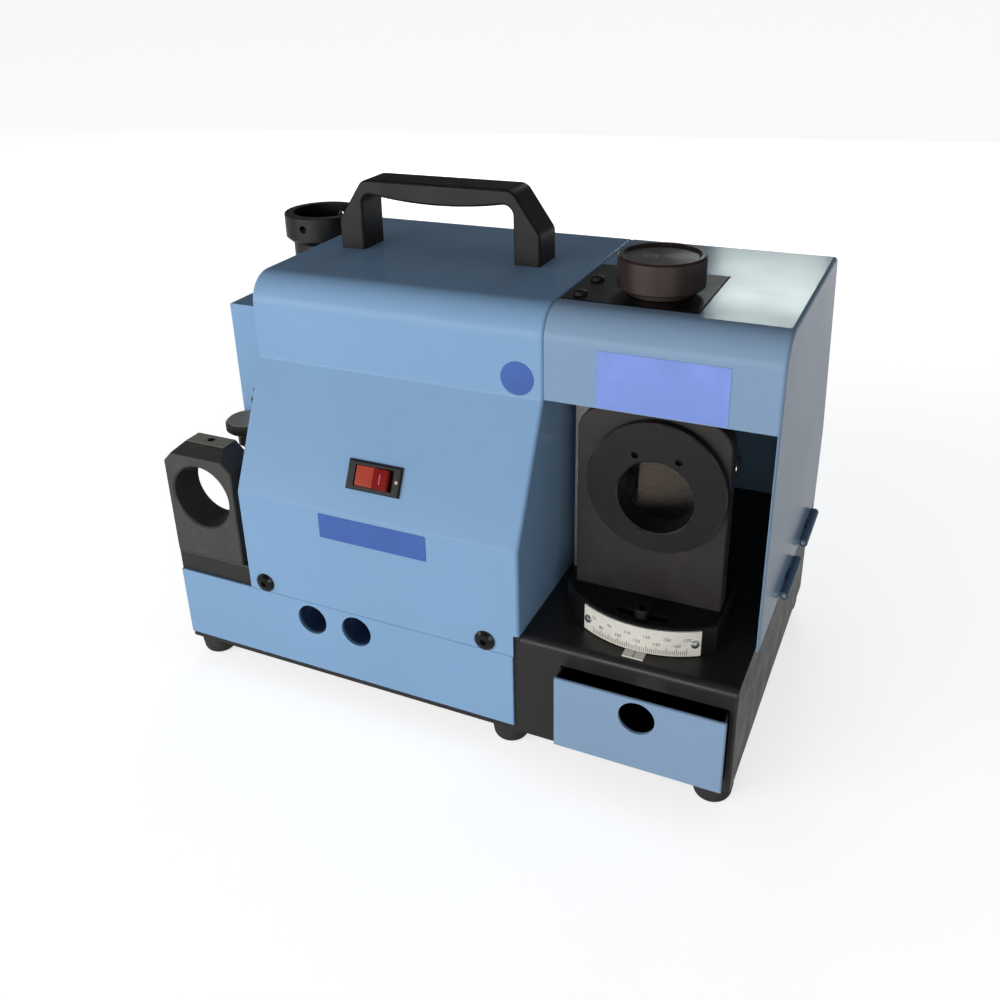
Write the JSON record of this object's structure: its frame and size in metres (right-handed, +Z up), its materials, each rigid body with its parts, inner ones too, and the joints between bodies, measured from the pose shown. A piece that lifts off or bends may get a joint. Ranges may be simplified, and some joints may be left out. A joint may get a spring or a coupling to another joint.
{
  "type": "portable drill bit grinding machine",
  "caption": "Bench-top drill bit grinder: black base with drawer, folded blue hoods, carrying handle, swivelling chuck ring and side thinning port.",
  "frame": {"origin": "centre of the footprint on the floor under the feet", "axes": "+X along the motor shaft towards the hinged wheel hood, +Y from the drawer front to the back, +Z up"},
  "size_m": [0.426, 0.2694, 0.3508],
  "materials": {
    "blue_paint": "glossy light steel-blue enamel on folded sheet",
    "black_paint": "satin black enamel",
    "black_steel": "black-oxide steel, semi-matt",
    "bright_steel": "machined bright steel",
    "frame_alloy": "cast and left grey",
    "white_enamel": "printed cream-white plate",
    "black_plastic": "matt moulded black",
    "red_plastic": "glossy moulded red, translucent lamp rocker",
    "rubber": "soft moulded black",
    "abrasive": "fine matt abrasive grit"
  },
  "bodies": {
    "base": {"front_panel": "blue_paint", "main_hood": "blue_paint", "side_guard": "blue_paint", "hinge_base_knuckles": "blue_paint", "base_box": "black_paint", "motor_housing": "black_paint", "motor_end_bells": "black_paint", "thinning_block": "black_steel", "thinning_arm": "black_steel", "gauge_post": "black_steel", "gauge_cup": "black_steel", "top_plate": "black_steel", "hood_screws": "black_steel", "lock_screw": "black_steel", "block_grub_screw": "black_steel", "plate_screws": "black_steel", "block_bolts": "black_steel", "gauge_bolt": "black_steel", "handle_bolts": "black_steel", "frame_bolts": "black_steel", "motor_bolts": "black_steel", "arm_screws": "black_steel", "hinge_pins": "bright_steel", "swivel_pivot": "bright_steel", "motor_bearings": "bright_steel", "foot_screws": "bright_steel", "stator_core": "bright_steel", "head_frame": "frame_alloy", "pointer_plate": "white_enamel", "carry_handle": "black_plastic", "switch_housing": "black_plastic", "mains_inlet": "black_plastic", "rubber_feet": "rubber"},
    "wheel_hood": {"wheel_hood": "blue_paint", "hinge_hood_knuckles": "blue_paint"},
    "drawer": {"drawer_box": "black_paint", "drawer_front": "blue_paint"},
    "swivel": {"swivel_base": "black_steel", "swivel_plate": "black_steel", "plate_bolts": "black_steel", "guide_ring": "black_steel", "scale_plate": "white_enamel", "scale_screws": "bright_steel"},
    "rotor": {"motor_shaft": "bright_steel", "rotor_core": "bright_steel", "thinning_wheel": "abrasive", "thinning_flange": "bright_steel", "thinning_nut": "bright_steel", "grinding_wheel": "abrasive", "wheel_flange": "bright_steel", "wheel_nut": "bright_steel"},
    "rocker": {"switch_rocker": "red_plastic"},
    "feed_knob": {"feed_knob": "black_steel", "feed_spindle": "bright_steel"},
    "stop_knob": {"stop_knob": "black_steel", "stop_spindle": "bright_steel"}
  },
  "joints": [
    {"name": "wheel_hood_hinge", "type": "hinge", "parent": "base", "child": "wheel_hood", "pos_m": [0.21, 0.03965, 0.096], "axis": [0, 1, 0], "range_deg": [0, 90]},
    {"name": "drawer_slide", "type": "slide", "parent": "base", "child": "drawer", "axis": [0, -1, 0], "range_m": [-0.012, 0.11]},
    {"name": "swivel_turn", "type": "hinge", "parent": "base", "child": "swivel", "pos_m": [0.1373, -0.03535, 0.0953], "axis": [0, 0, 1], "range_deg": [-12.5, 12.5]},
    {"name": "rotor_spin", "type": "hinge", "parent": "base", "child": "rotor", "pos_m": [-0.05026, 0.00665, 0.1765], "axis": [1, 0, 0], "continuous": true},
    {"name": "rocker_tilt", "type": "hinge", "parent": "base", "child": "rocker", "pos_m": [-0.042, -0.10802, 0.18197], "axis": [0, 0.4447, 0.8957], "range_deg": [0, 16]},
    {"name": "feed_knob_turn", "type": "hinge", "parent": "base", "child": "feed_knob", "pos_m": [0.119, -0.02235, 0.3011], "axis": [0, 0, 1], "continuous": true},
    {"name": "stop_knob_turn", "type": "hinge", "parent": "base", "child": "stop_knob", "pos_m": [-0.18, -0.06085, 0.172], "axis": [0, 0, 1], "continuous": true}
  ]
}
